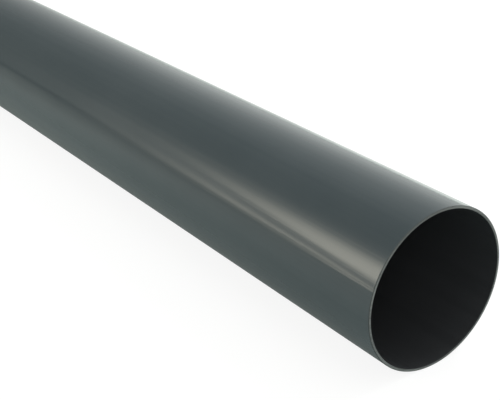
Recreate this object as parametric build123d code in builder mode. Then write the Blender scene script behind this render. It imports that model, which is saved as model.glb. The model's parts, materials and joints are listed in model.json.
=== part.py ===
from build123d import *
import os

# One length of thin-walled round rainwater drain pipe, extruded in plastic and sawn square at both ends.
# It lies along X on a level floor: its lowest line is at Z = 0, and its middle is over the origin.

# Driving dimensions, in millimetres.
outside_diameter = 105.0
wall = 1.8
length = 1000.0
outer_edge_break = 0.4  # bevel where a deburring blade took off the outer sawn edge
inner_edge_break = 0.2  # finer bevel round the mouth of the bore

outside_radius = outside_diameter / 2
bore_radius = outside_radius - wall
wall_middle_radius = outside_radius - wall / 2

# The saw cut that the tube is extruded from, with the axis one outside radius above the floor.
start_cut = Plane(origin=(-length / 2, 0, outside_radius), x_dir=(0, 1, 0), z_dir=(1, 0, 0))

with BuildPart() as pipe:
    with BuildSketch(start_cut):
        Circle(outside_radius)
        Circle(bore_radius, mode=Mode.SUBTRACT)
    extrude(amount=length)
    rims = pipe.edges().filter_by(GeomType.CIRCLE)
    chamfer(rims.filter_by(lambda rim: rim.radius > wall_middle_radius), outer_edge_break)
    chamfer(rims.filter_by(lambda rim: rim.radius < wall_middle_radius), inner_edge_break)

pipe.part.label = "pipe"
os.makedirs("parts", exist_ok=True)
export_step(pipe.part, "parts/pipe.step")
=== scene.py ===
import json
import math

import bmesh
import bpy
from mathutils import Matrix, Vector


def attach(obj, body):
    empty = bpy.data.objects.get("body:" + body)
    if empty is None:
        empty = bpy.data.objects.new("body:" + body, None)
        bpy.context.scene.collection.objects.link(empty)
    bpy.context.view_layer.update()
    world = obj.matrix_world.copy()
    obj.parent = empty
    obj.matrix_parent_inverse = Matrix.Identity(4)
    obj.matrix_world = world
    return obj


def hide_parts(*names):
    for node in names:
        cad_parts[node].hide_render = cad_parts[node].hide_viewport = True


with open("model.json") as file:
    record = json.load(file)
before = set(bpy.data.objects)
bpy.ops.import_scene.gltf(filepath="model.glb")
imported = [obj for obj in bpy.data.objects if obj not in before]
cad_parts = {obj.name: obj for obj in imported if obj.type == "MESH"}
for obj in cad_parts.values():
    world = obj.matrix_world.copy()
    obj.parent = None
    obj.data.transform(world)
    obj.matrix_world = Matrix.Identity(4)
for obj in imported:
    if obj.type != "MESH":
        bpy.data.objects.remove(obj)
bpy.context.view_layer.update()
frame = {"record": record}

# The pipe's sizes in metres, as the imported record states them. The mouth that the photograph shows is the
# end towards +X.
MOUNTS = {mount["name"]: mount for mount in frame["record"]["mounts"]}
SPIGOT = MOUNTS["plus_x_spigot"]["dims"]
BORE = MOUNTS["bore"]["dims"]
OUTSIDE_RADIUS = SPIGOT["r_mm"] / 1000
BORE_RADIUS = BORE["r_mm"] / 1000
HALF_LENGTH = MOUNTS["plus_x_sawn_end"]["pos_m"][0]
AXIS_HEIGHT = MOUNTS["bore"]["pos_m"][2]
MOUTH = Vector((HALF_LENGTH, 0, AXIS_HEIGHT))

# The bevels take up what the spigot and the bore leave of the length.
OUTER_BEVEL = HALF_LENGTH - SPIGOT["length_mm"] / 1000 / 2
INNER_BEVEL = HALF_LENGTH - BORE["length_mm"] / 1000 / 2

# How finely the tube is divided.
SEGMENTS_ROUND = 288
SPANS_ALONG = 40

# The photograph's camera: its place from the middle of the mouth in pipe radii, its angles in degrees, and
# how near it sees in metres.
CAMERA_FROM_MOUTH = Vector((7.118, -7.683, 5.887))
CAMERA_AZIMUTH = 54.178
CAMERA_ELEVATION = 24.986
LENS_MM = 76.87
SENSOR_MM = 36.0
NEAREST_SEEN = 0.01

# The plastic. Each surface varies between two tones, the darker one first.
PLASTIC_IOR = 1.53
SKIN_TONES = (0.046, 0.061, 0.069, 1), (0.056, 0.071, 0.079, 1)
# The bore's tones are darker than the skin's: painted shade for the dim inside of the tube.
BORE_TONES_WITH_PAINTED_SHADE = (0.031, 0.032, 0.035, 1), (0.040, 0.041, 0.045, 1)
SAWN_TONES = (0.067, 0.071, 0.070, 1), (0.190, 0.196, 0.190, 1)
# The bevels' tones are darker than the skin's: painted shade for the dark rings along the rims.
BEVEL_TONES_WITH_PAINTED_SHADE = (0.030, 0.037, 0.038, 1), (0.052, 0.058, 0.058, 1)

# The studio's light and floor. Left and right are those of someone who faces the mouth: left is towards
# -Y, and right is towards +Y.
BLACK = (0, 0, 0)
WHITE = (1, 1, 1)
WARM = (1, 0.95, 0.80)
STUDIO = (0.965, 1, 0.965)
# The floor's tints show only in the pipe's reflections and light. The second one is a cooler painted shade
# close to the pipe.
FLOOR_PAINT = (0.95, 1, 0.97)
FLOOR_PAINTED_SHADE_BESIDE_PIPE = (0.85, 0.99, 0.99)
FLOOR_PAINT_TO_CAMERA = (0.7, 0.7, 0.7)
FLOOR_SIZE = 30.0
FLOOR_WHITE_STRENGTH = 1.15
FLOOR_WHITE_TO_CAMERA = 0.70
FLOOR_WHITE_IN_GLOSS = 0.06


class Nodes:
    """A short way to add nodes to a shader tree. Inputs go by name, or by number where a node's names
    repeat, and are given as values or as sockets."""

    def __init__(self, tree):
        self.tree = tree
        tree.nodes.clear()

    def add(self, kind, inputs=None, out=0, **settings):
        node = self.tree.nodes.new(kind)
        for name, value in settings.items():
            setattr(node, name, value)
        for key, value in (inputs or {}).items():
            if isinstance(value, bpy.types.NodeSocket):
                self.tree.links.new(value, node.inputs[key])
            else:
                node.inputs[key].default_value = value
        return node.outputs[out] if len(node.outputs) else node

    def math(self, operation, *values):
        return self.add("ShaderNodeMath", dict(enumerate(values)), operation=operation)

    def plus(self, first, second):
        return self.math("ADD", first, second)

    def minus(self, first, second):
        return self.math("SUBTRACT", first, second)

    def times(self, first, second):
        return self.math("MULTIPLY", first, second)

    def most(self, first, second):
        return self.math("MAXIMUM", first, second)

    def ramp(self, value, start, end, low=0.0, high=1.0, smooth=True):
        """low up to start, high from end on, and a smooth or straight change between the two."""
        kind = "SMOOTHSTEP" if smooth else "LINEAR"
        inputs = {"Value": value, "From Min": start, "From Max": end, "To Min": low, "To Max": high}
        return self.add("ShaderNodeMapRange", inputs, interpolation_type=kind)

    def place(self):
        return self.add("ShaderNodeTexCoord", out="Object")

    def parts(self, vector):
        return self.add("ShaderNodeSeparateXYZ", {"Vector": vector}).node.outputs

    def stretched(self, where, x, y, z):
        return self.add("ShaderNodeMapping", {"Vector": where, "Scale": (x, y, z)})

    def noise(self, where, scale, detail, roughness):
        inputs = {"Vector": where, "Scale": scale, "Detail": detail, "Roughness": roughness}
        return self.add("ShaderNodeTexNoise", inputs)

    def bump(self, height, strength, distance):
        inputs = {"Height": height, "Strength": strength, "Distance": distance}
        return self.add("ShaderNodeBump", inputs)

    def mix_colour(self, share, first, second):
        inputs = {0: share, 6: first, 7: second}
        return self.add("ShaderNodeMix", inputs, out=2, data_type="RGBA")


def new_material(name):
    material = bpy.data.materials.new(name)
    material.use_nodes = True
    return material, Nodes(material.node_tree)


def finish_surface(nodes, shader):
    nodes.add("ShaderNodeOutputMaterial", {"Surface": shader})


def finish_plastic(nodes, colour, roughness, bump):
    inputs = {"Base Color": colour, "Roughness": roughness, "Normal": bump, "IOR": PLASTIC_IOR}
    finish_surface(nodes, nodes.add("ShaderNodeBsdfPrincipled", inputs))


def skin_material():
    """The extruded outer skin: dark grey hard plastic, half glossy, with faint lines from the die."""
    material, nodes = new_material("pipe_skin")
    place = nodes.place()
    die = nodes.noise(nodes.stretched(place, x=0.4, y=60, z=60), scale=5, detail=4, roughness=0.65)
    wave = nodes.noise(nodes.stretched(place, x=1.5, y=12, z=12), scale=1.2, detail=1, roughness=0.4)
    cloud = nodes.noise(nodes.stretched(place, x=1, y=2, z=2), scale=9, detail=4, roughness=0.6)
    rub = nodes.noise(nodes.stretched(place, x=1, y=3, z=3), scale=11, detail=5, roughness=0.7)
    grain = nodes.noise(place, scale=700, detail=1, roughness=0.5)
    die_in_tone, cloud_in_tone = 0.35, 0.65
    tone = nodes.plus(nodes.times(die, die_in_tone), nodes.times(cloud, cloud_in_tone))
    paler = nodes.ramp(tone, start=0.35, end=0.65, smooth=False)
    polish = nodes.ramp(die, start=0.3, end=0.7, low=0.125, high=0.165)
    duller = nodes.ramp(rub, start=0.55, end=0.75, high=0.035)
    die_in_height, grain_in_height = 1.2, 0.03
    ridges = nodes.plus(nodes.times(die, die_in_height), wave)
    height = nodes.plus(nodes.times(grain, grain_in_height), ridges)
    finish_plastic(
        nodes,
        colour=nodes.mix_colour(paler, *SKIN_TONES),
        roughness=nodes.plus(polish, duller),
        bump=nodes.bump(height, strength=0.25, distance=0.0002),
    )
    return material


def bore_material():
    """The bore: the same plastic, duller, with broader lines from the die's pin. Its colour is darker than
    the skin's as painted shade for the dim inside of the tube.
    """
    material, nodes = new_material("pipe_bore")
    stretched = nodes.stretched(nodes.place(), x=0.6, y=60, z=60)
    die = nodes.noise(stretched, scale=4, detail=3, roughness=0.6)
    finish_plastic(
        nodes,
        colour=nodes.mix_colour(die, *BORE_TONES_WITH_PAINTED_SHADE),
        roughness=nodes.ramp(die, start=0.3, end=0.7, low=0.34, high=0.44),
        bump=nodes.bump(die, strength=0.3, distance=0.0003),
    )
    return material


def sawn_material():
    """The sawn end: paler where the saw whitened the plastic, with the saw's fine level marks."""
    material, nodes = new_material("pipe_sawn_end")
    place = nodes.place()
    marks = nodes.noise(nodes.stretched(place, x=40, y=14, z=260), scale=5, detail=3, roughness=0.65)
    smear = nodes.noise(place, scale=22, detail=2, roughness=0.5)
    paler = nodes.ramp(nodes.plus(marks, smear), start=0.75, end=1.25)
    finish_plastic(
        nodes,
        colour=nodes.mix_colour(paler, *SAWN_TONES),
        roughness=nodes.ramp(marks, start=0.3, end=0.7, low=0.45, high=0.7),
        bump=nodes.bump(marks, strength=0.8, distance=0.0001),
    )
    return material


def bevel_material():
    """The bevels that the deburring blade cut, rippled by its chatter. Their colour is darker than the
    skin's as painted shade for the dark rings along the rims.
    """
    material, nodes = new_material("pipe_bevel")
    chatter = nodes.noise(nodes.place(), scale=400, detail=2, roughness=0.5)
    finish_plastic(
        nodes,
        colour=nodes.mix_colour(chatter, *BEVEL_TONES_WITH_PAINTED_SHADE),
        roughness=nodes.ramp(chatter, start=0.3, end=0.7, low=0.4, high=0.5),
        bump=nodes.bump(chatter, strength=0.3, distance=0.00005),
    )
    return material


def along(start, end, spans):
    """Evenly spaced places from start to end, both included."""
    return [start + (end - start) * i / spans for i in range(spans + 1)]


def tube_outline():
    """The wall's section, going once round it: (x, radius, material of the band that starts there)."""
    end = HALF_LENGTH
    outer = end - OUTER_BEVEL
    inner = end - INNER_BEVEL
    skin, bore, sawn, bevel = range(4)
    points = [(x, OUTSIDE_RADIUS, skin) for x in along(-outer, outer, SPANS_ALONG)]
    points[-1] = (outer, OUTSIDE_RADIUS, bevel)
    points += [(end, OUTSIDE_RADIUS - OUTER_BEVEL, sawn), (end, BORE_RADIUS + INNER_BEVEL, bevel)]
    points += [(x, BORE_RADIUS, bore) for x in along(inner, -inner, SPANS_ALONG)]
    points[-1] = (-inner, BORE_RADIUS, bevel)
    points += [(-end, BORE_RADIUS + INNER_BEVEL, sawn), (-end, OUTSIDE_RADIUS - OUTER_BEVEL, bevel)]
    return points


def turned(outline):
    """A mesh of the outline turned once round the pipe's axis, sharp only where two materials meet."""
    mesh = bmesh.new()
    rings = []
    for x, radius, _ in outline:
        ring = []
        for i in range(SEGMENTS_ROUND):
            angle = 2 * math.pi * i / SEGMENTS_ROUND
            y = -radius * math.sin(angle)
            z = AXIS_HEIGHT + radius * math.cos(angle)
            ring.append(mesh.verts.new((x, y, z)))
        rings.append(ring)
    for k, (_, _, band) in enumerate(outline):
        near, far = rings[k], rings[(k + 1) % len(rings)]
        for i in range(SEGMENTS_ROUND):
            j = (i + 1) % SEGMENTS_ROUND
            face = mesh.faces.new((near[i], near[j], far[j], far[i]))
            face.material_index = band
            face.smooth = True
    bmesh.ops.recalc_face_normals(mesh, faces=mesh.faces)
    for edge in mesh.edges:
        bands = {face.material_index for face in edge.link_faces}
        edge.smooth = len(bands) == 1
    data = bpy.data.meshes.new("drain_pipe")
    mesh.to_mesh(data)
    mesh.free()
    return data


def make_tube():
    """The pipe itself, fine enough that its outline is round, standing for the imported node."""
    data = turned(tube_outline())
    for material in (skin_material(), bore_material(), sawn_material(), bevel_material()):
        data.materials.append(material)
    tube = bpy.data.objects.new("drain_pipe", data)
    bpy.context.scene.collection.objects.link(tube)
    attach(tube, "root")
    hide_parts("pipe")


def floor_colour_with_painted_light(nodes, x, y, to_camera):
    """The floor's colour by place is painted light and shade for the pipe to mirror: darker to the pipe's
    left and towards its far end, lighter to its right, and a cooler painted shade close to it. The camera
    itself sees one pale grey all over."""
    # Painted light and shade: the floor's lightness by place stands in for how the lamps light it.
    left = nodes.ramp(y, start=-0.9, end=-0.25, low=0.42, high=0.54)
    far = nodes.ramp(x, start=-0.45, end=0.08, low=0.6)
    right = nodes.ramp(y, start=0.0, end=0.45, high=0.46)
    painted_lightness = nodes.plus(nodes.times(left, far), right)
    # Painted shade: a cooler tint on the floor close to the pipe on both sides.
    near_on_left = nodes.ramp(y, start=-0.25, end=-0.05)
    near_on_right = nodes.ramp(y, start=0.03, end=0.12, low=1.0, high=0.0)
    painted_shade_near_pipe = nodes.times(near_on_left, near_on_right)
    tint_with_painted_shade = nodes.mix_colour(painted_shade_near_pipe, (*FLOOR_PAINT, 1), (*FLOOR_PAINTED_SHADE_BESIDE_PIPE, 1))
    colour = nodes.mix_colour(painted_lightness, (*BLACK, 1), tint_with_painted_shade)
    return nodes.mix_colour(to_camera, colour, (*FLOOR_PAINT_TO_CAMERA, 1))


def make_floor():
    """A wide floor, which the camera sees as white but for the pipe's own soft shadow."""
    bpy.ops.mesh.primitive_plane_add(size=FLOOR_SIZE, location=(0, 0, 0))
    floor = bpy.context.object
    floor.name = "floor"
    material, nodes = new_material("floor_white")
    rays = nodes.add("ShaderNodeLightPath").node.outputs
    to_camera = rays["Is Camera Ray"]
    seen = nodes.most(nodes.most(to_camera, rays["Is Glossy Ray"]), rays["Is Transmission Ray"])
    glow_share = nodes.plus(
        nodes.times(to_camera, FLOOR_WHITE_TO_CAMERA),
        nodes.times(seen, FLOOR_WHITE_IN_GLOSS),
    )
    place = nodes.parts(nodes.add("ShaderNodeNewGeometry", out="Position"))
    colour = floor_colour_with_painted_light(nodes, place["X"], place["Y"], to_camera)
    paint = nodes.add("ShaderNodeBsdfDiffuse", {"Color": colour})
    glow = nodes.add("ShaderNodeEmission", {"Color": (*WHITE, 1), "Strength": FLOOR_WHITE_STRENGTH})
    finish_surface(nodes, nodes.add("ShaderNodeMixShader", {0: glow_share, 1: paint, 2: glow}))
    floor.data.materials.append(material)


def studio_level(nodes, ahead, sideways, upwards):
    """How bright the studio is in a direction, given by its parts along X, Y and Z: pale to the pipe's
    right, overhead and in a ring ahead of its mouth, grey to its left, and dim past its far end, most of
    all low down. The ring has a dim middle and is dimmer on the right."""
    right = nodes.ramp(sideways, start=-0.15, end=0.75, high=0.76)
    right = nodes.times(right, nodes.ramp(upwards, start=0.2, end=0.6, low=1.0, high=0.7))
    overhead = nodes.ramp(upwards, start=0.8, end=1.0, high=1.2)
    ring_ahead = nodes.ramp(ahead, start=0.4, end=0.75, high=1.35)
    ring_middle = nodes.ramp(ahead, start=0.82, end=0.94, low=1.0, high=0.25)
    ring_right = nodes.ramp(sideways, start=-0.25, end=0.25, low=1.0, high=0.35)
    ring_ahead = nodes.times(nodes.times(ring_ahead, ring_middle), ring_right)
    pale = nodes.plus(nodes.plus(right, overhead), ring_ahead)
    left = nodes.ramp(sideways, start=-0.9, end=-0.3, low=0.60, high=0.26)
    low_past_far_end = nodes.ramp(ahead, start=-0.86, end=-0.76, low=0.2, high=0.9)
    low_down = nodes.ramp(upwards, start=0.02, end=0.05, low=low_past_far_end, high=1.0)
    low_down = nodes.most(low_down, nodes.ramp(sideways, start=-0.1, end=0.4))
    level = nodes.plus(pale, nodes.times(left, low_down))
    return nodes.times(level, nodes.ramp(ahead, start=-0.95, end=-0.8, low=0.58))


def make_world():
    """The studio all round the pipe, which the camera itself sees as white."""
    world = bpy.data.worlds.new("studio")
    bpy.context.scene.world = world
    world.use_nodes = True
    nodes = Nodes(world.node_tree)
    direction = nodes.parts(nodes.add("ShaderNodeTexCoord", out="Generated"))
    level = studio_level(nodes, direction["X"], direction["Y"], direction["Z"])
    to_camera = nodes.add("ShaderNodeLightPath", out="Is Camera Ray")
    colour = nodes.mix_colour(to_camera, (*STUDIO, 1), (*WHITE, 1))
    strength = nodes.most(level, to_camera)
    background = nodes.add("ShaderNodeBackground", {"Color": colour, "Strength": strength})
    nodes.add("ShaderNodeOutputWorld", {"Surface": background})


def screen_pattern(nodes, right, up):
    """A screen lit from behind: a hot spot with a wide faint halo, the spot cut off below by a sloping
    edge, and a bright hem along the screen's foot, which fades more softly downwards. Places are in
    metres from its lower left corner, seen from behind it."""

    def bell(offset, half_width):
        share = nodes.math("DIVIDE", offset, half_width)
        return nodes.math("POWER", 0.5, nodes.times(share, share))

    def above_line(start, slope):
        return nodes.minus(up, nodes.plus(nodes.times(right, -slope), start))

    def glow(centre_right, centre_up, half_width, half_height):
        across = bell(nodes.minus(right, centre_right), half_width)
        return nodes.times(across, bell(nodes.minus(up, centre_up), half_height))

    spot = glow(centre_right=1.65, centre_up=0.39, half_width=0.39, half_height=0.285)
    edge = nodes.ramp(above_line(start=0.905, slope=0.425), start=-0.03, end=0.03, low=0.17)
    halo = glow(centre_right=1.1, centre_up=0.66, half_width=0.5, half_height=0.38)
    halo_level = 0.09
    hem_line = above_line(start=0.442, slope=0.25)
    width_above = nodes.ramp(right, start=0.6, end=1.6, low=0.09, high=0.022, smooth=False)
    width_below = nodes.ramp(right, start=0.6, end=1.5, low=0.18, high=0.027, smooth=False)
    hem_width = nodes.ramp(hem_line, start=-0.002, end=0.002, low=width_below, high=width_above)
    hem_middle, hem_reach = 1.72, 0.43
    hem = nodes.times(bell(hem_line, hem_width), bell(nodes.minus(right, hem_middle), hem_reach))
    return nodes.plus(nodes.plus(nodes.times(spot, edge), nodes.times(halo, halo_level)), hem)


def make_lamp(name, place, facing, width, height, radiance, colour=WHITE, pattern=None):
    """A rectangular lamp. Something that mirrors it shows it at the radiance given, times what the pattern
    works out for each place on it, from how far right and how far up the place is."""
    data = bpy.data.lights.new(name, "AREA")
    data.shape = "RECTANGLE"
    data.size = width
    data.size_y = height
    data.energy = radiance * math.pi * width * height
    data.color = colour
    if pattern:
        data.use_nodes = True
        nodes = Nodes(data.node_tree)
        share = nodes.add("ShaderNodeNewGeometry", out="Parametric")
        right, up, _ = nodes.parts(nodes.stretched(share, x=width, y=height, z=1))
        emission = nodes.add("ShaderNodeEmission", {"Strength": pattern(nodes, right, up)})
        nodes.add("ShaderNodeOutputLight", {"Surface": emission})
    lamp = bpy.data.objects.new(name, data)
    lamp.location = place
    lamp.rotation_euler = Vector(facing).to_track_quat("-Z", "Y").to_euler()
    lamp.visible_camera = False
    bpy.context.scene.collection.objects.link(lamp)


def make_lights():
    """The screen is what the pipe's left side mirrors. The back lamp lights the floor to its right."""
    make_lamp(
        "screen",
        place=(-0.85, -1.05, 0.7),
        facing=(0, 1, 0),
        width=2.3,
        height=1.4,
        radiance=4.3,
        colour=WARM,
        pattern=screen_pattern,
    )
    make_lamp(
        "back_lamp",
        place=(0.25, 1.3, 1.3),
        facing=(-0.1, -0.5, -1),
        width=1.0,
        height=1.0,
        radiance=5.0,
    )


def make_camera():
    data = bpy.data.cameras.new("camera")
    data.lens = LENS_MM
    data.sensor_width = SENSOR_MM
    data.clip_start = NEAREST_SEEN
    camera = bpy.data.objects.new("camera", data)
    bpy.context.scene.collection.objects.link(camera)
    camera.location = MOUTH + CAMERA_FROM_MOUTH * OUTSIDE_RADIUS
    camera.rotation_euler = (math.radians(90 - CAMERA_ELEVATION), 0, math.radians(CAMERA_AZIMUTH))
    bpy.context.scene.camera = camera


make_camera()
make_tube()
make_floor()
make_world()
make_lights()
bpy.context.scene.view_settings.view_transform = "Standard"
